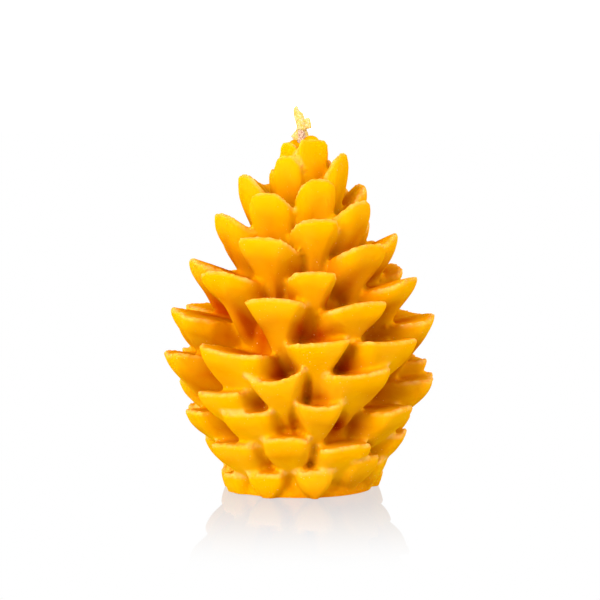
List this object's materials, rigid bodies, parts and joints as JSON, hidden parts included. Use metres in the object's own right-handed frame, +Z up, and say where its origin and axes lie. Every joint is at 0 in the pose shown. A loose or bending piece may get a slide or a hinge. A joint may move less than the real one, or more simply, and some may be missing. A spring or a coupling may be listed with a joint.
{
  "type": "pine cone candle",
  "caption": "Beeswax candle cast in the shape of an upright pine cone, with open scales, a flat round base and a braided cotton wick.",
  "frame": {"origin": "middle of the flat round base, at the surface that the candle stands on", "axes": "+Z up along the candle's axis, -Y towards the front"},
  "size_m": [0.0706, 0.0711, 0.1001],
  "materials": {
    "beeswax": "cast golden beeswax, soft satin, slightly translucent",
    "cotton": "flat braided cotton soaked with wax",
    "wax_crust": "thin pale flaky wax"
  },
  "bodies": {
    "root": {"wax_body": "beeswax", "wick": "cotton", "wick_coat": "wax_crust"}
  },
  "joints": []
}
